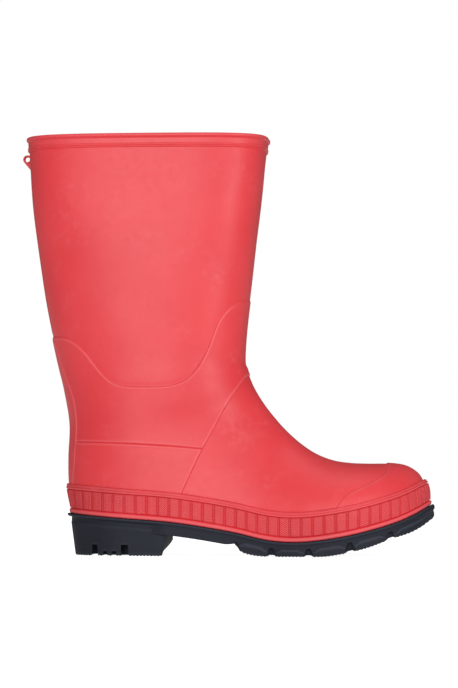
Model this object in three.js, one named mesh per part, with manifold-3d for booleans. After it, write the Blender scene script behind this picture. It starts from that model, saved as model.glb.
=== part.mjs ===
// Rubber rain boot for a child's right foot, laid up from separate rubber pieces over a knitted sock lining.
// Millimetres. +X points to the toe, +Y to the inner side of the foot, +Z up.
// While modelling, x runs from the back of the sole. The exported group then stands with its origin
// at the middle of the heel's tread, on the ground.
import * as THREE from "three";
import { mergeVertices } from "three/addons/utils/BufferGeometryUtils.js";
import Module from "manifold-3d";

const wasm = await Module();
wasm.setup();

// ---- Driving dimensions ----
const soleLength = 225; // back lip to toe lip of the outsole
const bootHeight = 256; // ground to rim
const heelHeight = 25; // ground to the top of the sole at the heel
const ballHeight = 8.8; // ground to the top of the sole at the ball
const toeSpring = 30.5; // ground to the top of the sole at the toe tip
const shaftDepth = 145.4; // front to back at the rim
const shaftWidth = 76; // side to side at the rim
const ankleWidth = 66; // side to side at the ankle
const ballWidth = 82; // side to side of the upper at the ball
const heelWidth = 60; // side to side of the upper at the heel

const gap = 0.3; // between touching pieces
const rubber = 2.2; // wall of the shaft and vamp
const lining = 1.2; // wall of the knitted lining
const relief = 0.5; // how far the reinforcing pieces stand proud of the shaft and vamp
const stiffener = 0.9; // wall of the hidden heel stiffener and toe puff
const foxingWall = 1.1; // wall of the strip round the foot, in its grooves
const ribStep = 0.6; // how far the foxing's ribs stand out of its grooves
const ribPitch = 6.9; // from one foxing rib to the next
const foxingHeight = 18.2; // sole to the top of the foxing
const edgingHeight = 3.2; // plain edging on top of the foxing
const beadHeight = 3.2; // bead where the upper meets the sole
const bandHeight = 8.4; // band round the rim
const rollHeight = 2.6; // rolled edge on top of that band
const bandSink = 0.5; // how far the band is let into the leg panel
const stayWidth = 34; // strip up the back of the ankle
const fillerWall = 2.4; // foam fillers between sole and insole board
const boardWall = 1.8; // insole board
const footbedWall = 4; // cushioned footbed
const shankWidth = 14; // stiffening strip under the arch
const overhang = 4.6; // how far the sole's lip stands out from the upper
const heelInset = 2; // how far the heel block stands in from that lip
const waistWall = 7.8; // sole under heel and arch
const plateWall = 4.8; // sole plate at the forefoot, above its tread blocks
const treadReach = 17; // reach of the edge tread blocks in from each side
const slotReach = 12; // reach of the heel's slots in from each side
const loopHole = 3.3; // hole of the hanging loop
const loopThick = 4; // hanging loop, side to side

const around = 24; // facets round the boot
const alongCount = 26; // loops from rim to toe
const farOut = 400; // reach of the cutting solids

// ---- Small helpers ----
const kx = soleLength / 225; // the outlines below are drawn for a 225 mm sole
const lerp = THREE.MathUtils.lerp;

// Value at u (0 to 1) of a smooth run through evenly spaced values.
function smooth(values, u) {
  const place = u * (values.length - 1);
  const i = Math.min(Math.floor(place), values.length - 2);
  const t = place - i;
  const at = (k) => values[THREE.MathUtils.clamp(k, 0, values.length - 1)];
  const [a, b, c, d] = [at(i - 1), at(i), at(i + 1), at(i + 2)];
  return 0.5 * (2 * b + (c - a) * t + (2 * a - 5 * b + 4 * c - d) * t * t + (3 * b - a - 3 * c + d) * t ** 3);
}

// Points along a smooth curve through [x, z] pairs, of the boot's side view.
function outline(pairs, steps) {
  const curve = new THREE.CatmullRomCurve3(pairs.map(([x, z]) => new THREE.Vector3(x, z, 0)), false, "centripetal");
  return curve.getPoints(steps).map((p) => new THREE.Vector2(p.x, p.y));
}

// Height at x of a side-view curve that runs from heel to toe.
function heightAt(points, x) {
  const i = THREE.MathUtils.clamp(points.findIndex((p) => p.x > x) - 1, 0, points.length - 2);
  const [a, b] = x > points.at(-1).x ? points.slice(-2) : [points[i], points[i + 1]];
  return a.y + ((b.y - a.y) * (x - a.x)) / (b.x - a.x);
}

function solidOf(geometry) {
  const bare = new THREE.BufferGeometry().setAttribute("position", geometry.getAttribute("position"));
  if (geometry.index) bare.setIndex(geometry.index);
  const merged = mergeVertices(bare, 1e-4);
  return new wasm.Manifold(
    new wasm.Mesh({
      numProp: 3,
      vertProperties: new Float32Array(merged.attributes.position.array),
      triVerts: new Uint32Array(merged.index.array),
    }),
  );
}

function geometryOf(solid) {
  const mesh = solid.getMesh();
  const geometry = new THREE.BufferGeometry();
  geometry.setAttribute("position", new THREE.BufferAttribute(new Float32Array(mesh.vertProperties), 3));
  geometry.setIndex(new THREE.BufferAttribute(new Uint32Array(mesh.triVerts), 1));
  geometry.computeVertexNormals();
  return geometry;
}

// A side-view polygon pushed across the boot, from y0 to y1.
function acrossSlab(points, y0 = -farOut, y1 = farOut) {
  const geometry = new THREE.ExtrudeGeometry(new THREE.Shape(points), { depth: y1 - y0, bevelEnabled: false });
  geometry.rotateX(Math.PI / 2); // shape's y becomes z, and the depth runs towards -Y
  geometry.translate(0, y1, 0);
  return solidOf(geometry);
}

// A plan-view polygon pushed up from z0 to z1.
function uprightSlab(points, z0, z1) {
  const geometry = new THREE.ExtrudeGeometry(new THREE.Shape(points), { depth: z1 - z0, bevelEnabled: false });
  geometry.translate(0, 0, z0);
  return solidOf(geometry);
}

// Moves a side-view curve sideways by a distance, to the left of its direction.
function shifted(points, distance) {
  return points.map((p, i) => {
    const a = points[Math.max(i - 1, 0)];
    const b = points[Math.min(i + 1, points.length - 1)];
    const along = b.clone().sub(a).normalize();
    return new THREE.Vector2(p.x - along.y * distance, p.y + along.x * distance);
  });
}

// ---- The sole line: where upper meets outsole, seen from the side ----
const soleLine = outline(
  [
    [-10 * kx, heelHeight + 1.6],
    [2 * kx, heelHeight + 0.4],
    [32 * kx, heelHeight - 2],
    [68 * kx, lerp(ballHeight, heelHeight, 0.7)],
    [103 * kx, lerp(ballHeight, heelHeight, 0.36)],
    [126 * kx, ballHeight + 0.9],
    [144 * kx, ballHeight],
    [169 * kx, lerp(ballHeight, toeSpring, 0.14)],
    [191 * kx, lerp(ballHeight, toeSpring, 0.38)],
    [207 * kx, lerp(ballHeight, toeSpring, 0.63)],
    [222 * kx, toeSpring],
    [236 * kx, toeSpring + 10],
  ],
  26,
);
const soleZ = (x) => heightAt(soleLine, x);

// Everything more than h above the sole line.
function aboveSole(h) {
  const edge = soleLine.map((p) => new THREE.Vector2(p.x, p.y + h));
  edge[0].x = -farOut;
  edge.at(-1).x = farOut;
  return acrossSlab([...edge, new THREE.Vector2(farOut, farOut), new THREE.Vector2(-farOut, farOut)]);
}

// ---- The upper's outer face, as a run of closed loops from the rim to the toe ----
// Each loop crosses the boot in a plane from a point on the front or top outline (front) to a point on the back or
// sole outline (back). half is its half width, mid the y of its middle, widest where it is widest (0 back, 1 front),
// and the powers say how square it is towards the front and towards the back.
const shaftZ = (f) => lerp(123, bootHeight, f);
const shaftFlare = (shaftDepth - 116.2 * kx) / 30.35; // shaft's widening from ankle to rim
const shaftHalf = (f) => lerp(ankleWidth, shaftWidth, f) / 2;
const shaftLoop = (f, back, front) => ({
  back: [-8 * kx - back * shaftFlare, shaftZ(f)],
  front: [108.2 * kx + front * shaftFlare, shaftZ(f)],
  half: shaftHalf(Math.min(f, 1)),
  mid: 0,
  widest: 0.5,
  powers: [2.4 + 1.2 * f, 2.4 + 1.2 * f],
});
const footLoop = (front, back, half, mid, widest, powers) => ({
  front: [front[0] * kx, front[1]],
  back: [back[0] * kx, back[1]],
  half,
  mid,
  widest,
  powers,
});
const under = -farOut / 10; // the loops reach below the ground, where the cuts remove them
const hh = heelWidth / 2;
const bh = ballWidth / 2;
const loops = [
  shaftLoop(1.06, 17.6, 15.2),
  shaftLoop(0.66, 14.5, 9.2),
  shaftLoop(0.32, 8.5, 3.6),
  shaftLoop(0, 0, 0),
  footLoop([109.8, 113.5], [-2.6, 100], ankleWidth / 2, 0, 0.48, [2.3, 2.4]),
  footLoop([113.4, 103.8], [0.7, 80], ankleWidth / 2 - 0.6, 0, 0.46, [2.2, 2.4]),
  footLoop([117.8, 95.9], [0, 60], hh + 1.2, -0.3, 0.44, [2.1, 2.4]),
  footLoop([122.4, 89.1], [0.7, 42], hh + 0.9, -0.6, 0.44, [2.1, 2.5]),
  footLoop([127.4, 82.8], [4.1, 22], hh + 1.1, -1, 0.46, [2.1, 2.6]),
  footLoop([132.1, 77.5], [5.2, -10], hh + 1.4, -1.6, 0.5, [2.1, 3.2]),
  footLoop([137.6, 72.2], [32, under], hh + 2, -2.4, 0.52, [2.1, 4.2]),
  footLoop([144.4, 66.8], [66, under], hh + 2, -3.4, 0.58, [2.1, 5]),
  footLoop([152.9, 61.7], [98, under], lerp(hh, bh, 0.4), -4.2, 0.61, [2.1, 5]),
  footLoop([163, 58], [126, under], lerp(hh, bh, 0.78), -3.4, 0.62, [2.15, 5]),
  footLoop([174, 56.4], [150, under], bh, -2, 0.63, [2.2, 5]),
  footLoop([185, 56], [169, under], bh - 0.4, 0, 0.64, [2.2, 5]),
  footLoop([196, 55.9], [185, under], bh - 3.8, 2, 0.65, [2.2, 5]),
  footLoop([206.6, 54.3], [199, under], bh - 9.6, 3.6, 0.66, [2.2, 5]),
  footLoop([213.8, 49.9], [209.4, under], bh - 17.6, 4.8, 0.68, [2.2, 5]),
  footLoop([217.2, 44.4], [215.8, under], bh - 26.5, 5.6, 0.7, [2.2, 5]),
  footLoop([219.2, 38], [219.2, under], bh - 35, 6, 0.7, [2.3, 5]),
];

// A point of the upper's outer face: u runs from above the rim (0) to the toe tip (1), a goes round (0 at the front).
function facePoint(u, a) {
  const value = (pick) => smooth(loops.map(pick), u);
  const front = new THREE.Vector2(value((s) => s.front[0]), value((s) => s.front[1]));
  const back = new THREE.Vector2(value((s) => s.back[0]), value((s) => s.back[1]));
  const widest = value((s) => s.widest);
  const ahead = Math.cos(a) >= 0;
  const power = value((s) => s.powers[ahead ? 0 : 1]);
  const swing = (part) => Math.sign(part) * Math.abs(part) ** (2 / power);
  const share = widest + swing(Math.cos(a)) * (ahead ? 1 - widest : widest);
  const y = value((s) => s.mid) + swing(Math.sin(a)) * value((s) => s.half);
  return new THREE.Vector3(lerp(back.x, front.x, share), y, lerp(back.y, front.y, share));
}

// The solid inside the upper's outer face, grown by an offset (negative shrinks it).
const offsetSolids = new Map();
function faceSolid(offset) {
  if (offsetSolids.has(offset)) return offsetSolids.get(offset);
  const step = 1e-3;
  const rings = [];
  for (let i = 0; i < alongCount; i++) {
    const u = i / (alongCount - 1);
    const ring = [];
    for (let j = 0; j < around; j++) {
      const a = (2 * Math.PI * (j + 0.5)) / around;
      const [u0, u1] = [Math.max(u - step, 0), Math.min(u + step, 1)];
      const alongU = facePoint(u1, a).sub(facePoint(u0, a));
      const alongA = facePoint(u, a + step).sub(facePoint(u, a - step));
      const normal = alongU.cross(alongA).normalize();
      ring.push(facePoint(u, a).addScaledVector(normal, offset));
    }
    rings.push(ring);
  }
  const positions = rings.flat();
  const index = [];
  for (let i = 0; i < alongCount - 1; i++)
    for (let j = 0; j < around; j++) {
      const next = (j + 1) % around;
      const [a, b] = [i * around + j, i * around + next];
      const [c, d] = [a + around, b + around];
      index.push(a, c, b, b, c, d);
    }
  for (const [ring, first, flip] of [[rings[0], 0, false], [rings.at(-1), (alongCount - 1) * around, true]]) {
    const centre = ring.reduce((sum, p) => sum.add(p), new THREE.Vector3()).divideScalar(around);
    const tip = positions.push(centre) - 1;
    for (let j = 0; j < around; j++) {
      const [a, b] = [first + j, first + ((j + 1) % around)];
      index.push(...(flip ? [tip, b, a] : [tip, a, b]));
    }
  }
  const geometry = new THREE.BufferGeometry().setFromPoints(positions);
  geometry.setIndex(index);
  const solid = solidOf(geometry);
  offsetSolids.set(offset, solid);
  return solid;
}

// ---- Level curves: the upper's outer face at a height above the sole line, once round the foot ----
const faceMesh = new THREE.Mesh(geometryOf(faceSolid(0)), new THREE.MeshBasicMaterial({ side: THREE.DoubleSide }));
const caster = new THREE.Raycaster();
const heelCentre = new THREE.Vector2(31 * kx, -1);
const toeCentre = new THREE.Vector2(182 * kx, 2);

// Ray w (0 to 1) of a fan that goes round heel, inner side, toe and outer side.
function fanRay(w) {
  const side = Math.floor(w * 4) % 4;
  const t = w * 4 - side;
  if (side === 0) return [heelCentre, Math.PI * (1.5 - t)];
  if (side === 1) return [heelCentre.clone().lerp(toeCentre, t), Math.PI / 2];
  if (side === 2) return [toeCentre, Math.PI * (0.5 - t)];
  return [toeCentre.clone().lerp(heelCentre, t), -Math.PI / 2];
}

function facePointOnRay(w, h) {
  const [from, angle] = fanRay(w);
  const along = new THREE.Vector3(Math.cos(angle), Math.sin(angle), 0);
  let x = from.x + 35 * along.x;
  let found;
  for (let i = 0; i < 4; i++) {
    caster.set(new THREE.Vector3(from.x, from.y, soleZ(x) + h), along);
    found = caster.intersectObject(faceMesh)[0].point;
    x = found.x;
  }
  return found;
}

function levelCurve(h) {
  const rays = 96;
  const points = Array.from({ length: rays }, (_, i) => facePointOnRay(i / rays, h));
  return new THREE.CatmullRomCurve3(points, true, "centripetal");
}

// Stations round the sole line: count equal steps, each with points at the given shares of the step.
const soleCurve = levelCurve(0);
function stations(count, shares = [0]) {
  const steps = Array.from({ length: count }, (_, i) => shares.map((share) => (i + share) / count));
  return steps.flat().map((part) => soleCurve.getUtoTmapping(part));
}

// A point of a level curve pushed out level with the sole line.
function pushedOut(curve, t, distance) {
  const along = curve.getTangent(t);
  const p = curve.getPoint(t);
  const rise = p.z - soleZ(p.x);
  p.add(new THREE.Vector3(-along.y, along.x, 0).setLength(distance));
  return p.setZ(soleZ(p.x) + rise);
}

// Closed ring solid from rings of points, one ring per station, one point per profile corner.
function ringSolid(rings) {
  const corners = rings[0].length;
  const index = [];
  rings.forEach((_, i) => {
    const next = (i + 1) % rings.length;
    for (let k = 0; k < corners; k++) {
      const [a, b] = [i * corners + k, i * corners + ((k + 1) % corners)];
      const [c, d] = [next * corners + k, next * corners + ((k + 1) % corners)];
      index.push(a, b, c, b, d, c);
    }
  });
  const geometry = new THREE.BufferGeometry().setFromPoints(rings.flat());
  geometry.setIndex(index);
  return solidOf(geometry);
}

// Profile of [distance out, height above the sole line] pairs swept round the foot.
function roundFoot(profile, places, outAt = (out) => out) {
  const curves = profile.map(([, h]) => levelCurve(h));
  return ringSolid(places.map((t, i) => profile.map(([out], k) => pushedOut(curves[k], t, outAt(out, i)))));
}

// The sole's outline in plan, pushed out by a distance, as an upright solid.
function soleSlab(distance) {
  const points = stations(50).map((t) => pushedOut(soleCurve, t, distance));
  return uprightSlab(points.map((p) => new THREE.Vector2(p.x, p.y)), -farOut / 4, farOut / 4);
}

// Profile of [distance out, height] pairs swept round the shaft, near the rim.
function roundShaft(profile) {
  const rings = Array.from({ length: 42 }, (_, i) =>
    profile.map(([out, z]) => {
      const u = ((1.06 - (z - 123) / (bootHeight - 123)) / 0.4) * (1 / (loops.length - 1));
      const a = (-2 * Math.PI * i) / 42;
      const p = facePoint(u, a).setZ(z);
      const along = facePoint(u, a - 0.01).sub(facePoint(u, a + 0.01));
      return p.add(new THREE.Vector3(-along.y, along.x, 0).setLength(out));
    }),
  );
  return ringSolid(rings);
}

// ---- Lines between the rubber pieces, seen from the side ----
const at = (pairs) => pairs.map(([x, z]) => [x * kx, z]);
const legLine = outline(
  at([
    [-60, 134.5], [-10, 133.8], [0, 132.6], [4.9, 130.6], [9.8, 126.8], [14.5, 122], [18.6, 116.8],
    [22.4, 112.2], [26.4, 108.2], [30.8, 105], [38.1, 103], [50.3, 102.5], [62, 102.9], [68.4, 104],
    [73.7, 106.2], [78.6, 110.2], [82.3, 115], [85.8, 120.9], [89.2, 128.4], [92.6, 138], [95.9, 144.7],
    [100.2, 150], [105.1, 153.6], [111.3, 156.6], [170, 163],
  ]),
  36,
);
const vampLine = outline(
  at([[42, -30], [59, 7], [73.4, 39.6], [78.8, 51.4], [84.7, 64], [91, 75.8], [97.9, 89.2], [106, 102.4], [109.8, 108.6], [190, 210]]),
  16,
);
const counterLine = outline(at([[-60, 70], [2.8, 69.2], [28.5, 68.5], [47, 67.7], [71.4, 66.1], [83.4, 65], [140, 60]]), 8);
const toeLine = outline(
  at([[142, -30], [157, 12], [167.4, 30.8], [172.4, 37], [181.1, 41.6], [190, 46.4], [195.4, 50.6], [196.3, 54], [194, 57], [180, 75], [170, 100]]),
  24,
);

// Everything on the left (positive) side of a line that runs across the whole boot.
function leftOf(line, corners, inset = gap / 2) {
  return acrossSlab([...shifted(line, inset), ...corners.map(([x, z]) => new THREE.Vector2(x, z))]);
}
const f = farOut;
const aboveLegLine = leftOf(legLine, [[f, f], [-f, f]]);
const belowLegLine = leftOf([...legLine].reverse(), [[-f, -f], [f, -f]]);
const behindVampLine = leftOf(vampLine, [[-f, f], [-f, -f]]);
const aheadOfVampLine = leftOf([...vampLine].reverse(), [[f, -f], [f, f]]);
const aboveCounterLine = leftOf(counterLine, [[f, f], [-f, f]]);
const belowCounterLine = leftOf([...counterLine].reverse(), [[-f, -f], [f, -f]]);
const behindToeLine = leftOf(toeLine, [[-f, f], [-f, -f]]);
const aheadOfToeLine = leftOf([...toeLine].reverse(), [[f, -f], [f, f]]);
const stayStrip = (half) =>
  acrossSlab([[-f, 0], [40 * kx, 0], [40 * kx, f], [-f, f]].map(([x, z]) => new THREE.Vector2(x, z)), -half, half);
const belowHeight = (z) => acrossSlab([[-f, -f], [f, -f], [f, z], [-f, z]].map(([x, y]) => new THREE.Vector2(x, y)));

// ---- Pieces ----
const boot = new THREE.Group();
function piece(name, solid, colour, roughness, metalness = 0) {
  const material = new THREE.MeshStandardMaterial({ color: colour, roughness, metalness });
  const mesh = new THREE.Mesh(geometryOf(solid.translate(-heelCentre.x, 0, 0)), material);
  mesh.name = name;
  boot.add(mesh);
}
const red = "#e0464f";
const deepRed = "#d63f49";
const navy = "#2c313c";

// Upper: one rubber wall, in pieces that meet edge to edge.
const rimGap = bootHeight - rollHeight - gap;
const wall = (out) => faceSolid(out).subtract(faceSolid(-rubber)).intersect(aboveSole(gap)).intersect(belowHeight(rimGap));
const plainWall = wall(0);
const proudWall = wall(relief);
const bandSeat = faceSolid(-bandSink - gap); // the leg panel is thinner under the band
const legPanel = plainWall.intersect(belowHeight(bootHeight - bandHeight - gap)).add(plainWall.intersect(bandSeat));
piece("leg_panel", legPanel.intersect(aboveLegLine), red, 0.42);
piece(
  "ankle_panel",
  proudWall.intersect(belowLegLine).intersect(behindVampLine).intersect(aboveCounterLine).subtract(stayStrip(stayWidth / 2 + gap)),
  red,
  0.42,
);
piece("back_stay", proudWall.intersect(belowLegLine).intersect(aboveCounterLine).intersect(stayStrip(stayWidth / 2)), red, 0.42);
piece("vamp", plainWall.intersect(belowLegLine).intersect(aheadOfVampLine).intersect(behindToeLine), red, 0.42);

// Heel counter and toe cap are thinner over the stiff pieces that they hide.
const liningSide = faceSolid(-rubber);
const hidden = faceSolid(-rubber + stiffener);
const hollow = faceSolid(-rubber + stiffener + gap);
const inset = 4; // the hidden pieces end this far inside the pieces over them
const stiffenerZone = (edge) =>
  leftOf([...counterLine].reverse(), [[-f, -f], [f, -f]], edge).intersect(leftOf(vampLine, [[-f, f], [-f, -f]], edge));
const puffZone = (edge) => leftOf([...toeLine].reverse(), [[f, -f], [f, f]], edge);
piece(
  "heel_counter",
  proudWall.intersect(belowCounterLine).intersect(behindVampLine).subtract(hollow.intersect(stiffenerZone(inset - gap))),
  red,
  0.42,
);
piece("toe_cap", proudWall.intersect(aheadOfToeLine).subtract(hollow.intersect(puffZone(inset - gap))), red, 0.42);
piece(
  "heel_stiffener",
  hidden.subtract(liningSide).intersect(aboveSole(gap)).intersect(stiffenerZone(inset)),
  "#c9b79c",
  0.85,
);
piece("toe_puff", hidden.subtract(liningSide).intersect(aboveSole(gap)).intersect(puffZone(inset)), "#c9b79c", 0.85);

// Sock lining, closed under the foot, with footbed, board and fillers stacked on the sole.
const boardBase = gap + fillerWall + gap;
const liningBase = boardBase + boardWall + gap;
const footbedBase = liningBase + lining + gap;
const core = faceSolid(-rubber - gap);
const inside = faceSolid(-rubber - gap - lining);
piece(
  "lining_sock",
  core.intersect(belowHeight(rimGap)).intersect(aboveSole(liningBase)).subtract(inside.intersect(aboveSole(liningBase + lining))),
  "#8d8f94",
  0.95,
);
const layer = (solid, base, thick) => solid.intersect(aboveSole(base)).subtract(aboveSole(base + thick));
piece("footbed", layer(faceSolid(-rubber - gap - lining - gap), footbedBase, footbedWall), "#9a9ca1", 0.95);
piece("insole_board", layer(core, boardBase, boardWall), "#a98a5f", 0.9);
const fillers = layer(core, gap, fillerWall);
const strip = (x0, x1, half) =>
  acrossSlab([[x0, -f], [x1, -f], [x1, f], [x0, f]].map(([x, z]) => new THREE.Vector2(x, z)), -half, half);
const [shankBack, shankFront, split] = [30 * kx, 116 * kx, 74 * kx];
const shankSlot = strip(shankBack - gap, shankFront + gap, shankWidth / 2 + gap);
piece("shank", fillers.intersect(strip(shankBack, shankFront, shankWidth / 2)), "#8c9096", 0.45, 0.9);
piece("heel_filler", fillers.subtract(shankSlot).intersect(strip(-f, split - gap / 2, f)), "#5b5148", 0.95);
piece("forepart_filler", fillers.subtract(shankSlot).intersect(strip(split + gap / 2, f, f)), "#5b5148", 0.95);

// Band, rolled over the rim.
const rollIn = -rubber - gap - lining;
const z0 = bootHeight;
piece(
  "top_band",
  roundShaft([
    [-bandSink, z0 - bandHeight], [1.1, z0 - bandHeight], [0.8, z0 - 7.5], [1.1, z0 - 6.8], [0.7, z0 - 6.2],
    [0.7, z0 - rollHeight], [1.4, z0 - 1.9], [0.8, z0], [rollIn + 0.6, z0], [rollIn, z0 - rollHeight],
    [-bandSink, z0 - rollHeight],
  ]),
  deepRed,
  0.42,
);

// Hanging loop at the back of the rim: a ring on a tapered tail.
const loopAt = new THREE.Vector2(-8 * kx - 17.9 * shaftFlare - loopHole / 2, z0 - 11.8);
const disc = (radius) => {
  const points = Array.from({ length: 20 }, (_, i) =>
    new THREE.Vector2(radius, 0).rotateAround(new THREE.Vector2(), (i * Math.PI) / 10).add(loopAt),
  );
  return acrossSlab(points, -loopThick / 2, loopThick / 2);
};
const tail = acrossSlab(
  [[8, 2.6], [0, 2.6], [-2.2, 0.6], [-1.2, -2.4], [2.6, -7.4], [8, -8.2]].map(([x, z]) => new THREE.Vector2(x, z).add(loopAt)).reverse(),
  -loopThick / 2,
  loopThick / 2,
);
piece(
  "hang_loop",
  disc(loopHole / 2 + 1.1).add(tail).subtract(disc(loopHole / 2)).subtract(faceSolid(gap)).intersect(strip(-f, 0, f)),
  red,
  0.42,
);

// Foxing round the foot: a bead on the sole, ribbed strip, plain edging.
const upperClear = faceSolid(relief + gap);
const foxingIn = 0; // just inside the room that upperClear cuts away
const foxingOut = relief + gap + foxingWall;
const ribs = Math.round(soleCurve.getLength() / ribPitch);
const stripBase = beadHeight + gap;
const stripTop = foxingHeight - edgingHeight - gap;
piece(
  "foxing_band",
  roundFoot(
    [[foxingIn, stripBase], [foxingOut, stripBase], [foxingOut, stripTop], [foxingIn, stripTop]],
    stations(ribs, [0, 0.66, 0.83]), // both edges of a rib, then the bottom of the groove
    (out, i) => (out === foxingOut && i % 3 < 2 ? out + ribStep : out),
  ).subtract(upperClear),
  deepRed,
  0.5,
);
piece(
  "foxing_edging",
  roundFoot(
    [
      [foxingIn, stripTop + gap], [foxingOut + 0.6, stripTop + gap], [foxingOut + 0.5, foxingHeight - 1.2],
      [foxingOut - 0.5, foxingHeight], [foxingIn, foxingHeight],
    ],
    stations(52),
  ).subtract(upperClear),
  deepRed,
  0.45,
);
piece(
  "welt_bead",
  roundFoot(
    [
      [foxingIn, gap], [foxingOut + 0.8, gap], [foxingOut + 1.4, 1.6], [foxingOut + 0.7, beadHeight],
      [foxingIn, beadHeight],
    ],
    stations(52),
  ).subtract(upperClear),
  deepRed,
  0.45,
);

// Outsole: lip, side band and tread blocks in one piece, with the heel block under it.
const soleWall = (x) => lerp(waistWall, plateWall, THREE.MathUtils.smoothstep(x, 98 * kx, 112 * kx));
function soleLayer(thick) {
  const top = soleLine.map((p) => p.clone());
  top[0].x = -f;
  top.at(-1).x = f;
  return acrossSlab([...top.map((p) => new THREE.Vector2(p.x, p.y - thick(p.x))), ...top.reverse()]);
}
const heelEnd = 58 * kx; // lip ends and the full side band begins
const flush = overhang - 0.4;
const sideBand = soleLayer(soleWall);
const lip = soleSlab(overhang).intersect(soleLayer(() => 1.7));
const heelBand = soleSlab(overhang - heelInset).intersect(sideBand).intersect(strip(-f, heelEnd + 6 * kx, f));
const frontBand = soleSlab(flush).intersect(sideBand).intersect(strip(heelEnd, f, f));

// Tread: blocks hang from the plate down to the tread line, along both edges and, half a pitch on, up the middle.
const treadLine = outline(
  at([
    [100, 9], [105, 6], [110, 2.4], [117, 0.6], [127, 0], [152, 0], [163, 0.6],
    [184.5, 5.2], [197.4, 10], [212, 15], [220, 20], [232, 30],
  ]),
  16,
);
const treadSlab = (() => {
  const bottom = treadLine.map((p) => new THREE.Vector2(p.x, Math.max(p.y, 0)));
  return acrossSlab([...bottom, new THREE.Vector2(f, 60), new THREE.Vector2(-f, 60)]).intersect(soleLayer((x) => soleWall(x) + 14));
})();
const blockEdges = [105.2, 127.6, 150, 174.7, 198.5, 229].map((x) => x * kx);
const wedges = (shift) =>
  blockEdges
    .slice(1)
    .map((end, i) => {
      const [a, b] = [blockEdges[i] + shift, end + shift];
      return acrossSlab([[a + 3, -f / 9], [b - 3, -f / 9], [b - 0.2, 60], [a + 0.2, 60]].map(([x, z]) => new THREE.Vector2(x, z)));
    });
const all = (solids) => solids.reduce((sum, solid) => sum.add(solid));
const edgeBlocks = soleSlab(flush).subtract(soleSlab(flush - treadReach)).intersect(all(wedges(0)));
const middleBlocks = soleSlab(flush - treadReach - 3).intersect(all(wedges(-11 * kx)));
const tread = edgeBlocks.add(middleBlocks).intersect(treadSlab);
piece("outsole", all([lip, heelBand, frontBand, tread]), navy, 0.6);

// Heel block: its breast is undercut towards the ground, and both sides have slots.
const heelSide = acrossSlab(
  at([
    [6.6, 0], [56.4, 0], [62.5, 9], [62.5, 40], [0.5, 40], [3, 15], [4.4, 5], [5.1, 1.4],
  ]).map(([x, z]) => new THREE.Vector2(x, z)),
);
const heelPlan = uprightSlab(
  at([[-90, -60], [61.9, -60], [61.8, -32], [61.3, 0], [60.6, 28], [60.4, 60], [-90, 60]]).map(([x, y]) => new THREE.Vector2(x, y)),
  -1,
  60,
);
const slots = all(
  [[16.8, 20.8, 6.9], [24.4, 26.9, 2.8], [30, 32.4, 2.8], [36.1, 40.1, 6.9]].map(([x0, x1, top]) =>
    strip(x0 * kx, x1 * kx, f).intersect(belowHeight(top)),
  ),
);
const heelOutline = soleSlab(overhang - heelInset - 0.6);
const heelBlock = heelOutline
  .intersect(heelSide)
  .intersect(heelPlan)
  .subtract(soleLayer(() => waistWall + gap))
  .subtract(acrossSlab([...soleLine.map((p) => p.clone()), new THREE.Vector2(f, f), new THREE.Vector2(-f, f)]))
  .subtract(slots.subtract(soleSlab(overhang - heelInset - slotReach)));
piece("heel_block", heelBlock, navy, 0.6);

export default boot;
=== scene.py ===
"""Rubber rain boot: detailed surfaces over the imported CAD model.

Shapes are worked out in millimetres with x from the back of the sole, as the CAD model's outlines are, and
turned into the row frame's metres when a mesh is made. The main sizes come from the CAD nodes' boxes.
"""

import math

import bpy
import numpy as np
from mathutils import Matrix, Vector
from mathutils.bvhtree import BVHTree


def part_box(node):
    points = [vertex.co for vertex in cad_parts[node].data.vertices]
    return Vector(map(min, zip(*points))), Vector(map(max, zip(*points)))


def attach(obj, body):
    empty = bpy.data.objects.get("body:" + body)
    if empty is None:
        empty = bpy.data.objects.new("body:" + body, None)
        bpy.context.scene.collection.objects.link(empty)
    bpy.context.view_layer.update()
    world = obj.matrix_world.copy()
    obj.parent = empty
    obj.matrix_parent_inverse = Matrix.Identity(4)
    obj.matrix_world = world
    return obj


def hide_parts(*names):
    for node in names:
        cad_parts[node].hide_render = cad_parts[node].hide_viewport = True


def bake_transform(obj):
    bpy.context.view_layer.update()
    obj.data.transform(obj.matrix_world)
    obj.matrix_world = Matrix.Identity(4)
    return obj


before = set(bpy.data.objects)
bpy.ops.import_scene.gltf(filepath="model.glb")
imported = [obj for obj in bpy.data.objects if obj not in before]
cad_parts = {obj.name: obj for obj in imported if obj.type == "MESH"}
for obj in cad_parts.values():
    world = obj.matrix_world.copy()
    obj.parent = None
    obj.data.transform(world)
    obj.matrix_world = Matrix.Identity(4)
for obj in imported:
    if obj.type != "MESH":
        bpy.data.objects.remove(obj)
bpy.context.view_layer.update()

MM = 0.001
FINE = 1.0


def box_mm(node):
    """Low and high corners of a CAD node's box, in millimetres."""
    low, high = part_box(node)
    return np.array(low) / MM, np.array(high) / MM


sole_low, sole_high = box_mm("outsole")
_, rim_high = box_mm("top_band")
leg_low, leg_high = box_mm("leg_panel")
vamp_low, vamp_high = box_mm("vamp")

DRAWN_SOLE = 224.6  # length of the CAD outsole at the size that the outlines below are drawn for
DRAWN_VAMP = 79.5  # width of the CAD vamp at that size
ANKLE_DEPTH = 116.2  # front to back of the shaft's loops without their flare
RIM_FLARE = 30.35  # what the flare adds to that depth at the rim
LEG_SHORT = 1.3  # the CAD leg panel measures this much less, front to back, than the outer face at the rim

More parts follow.
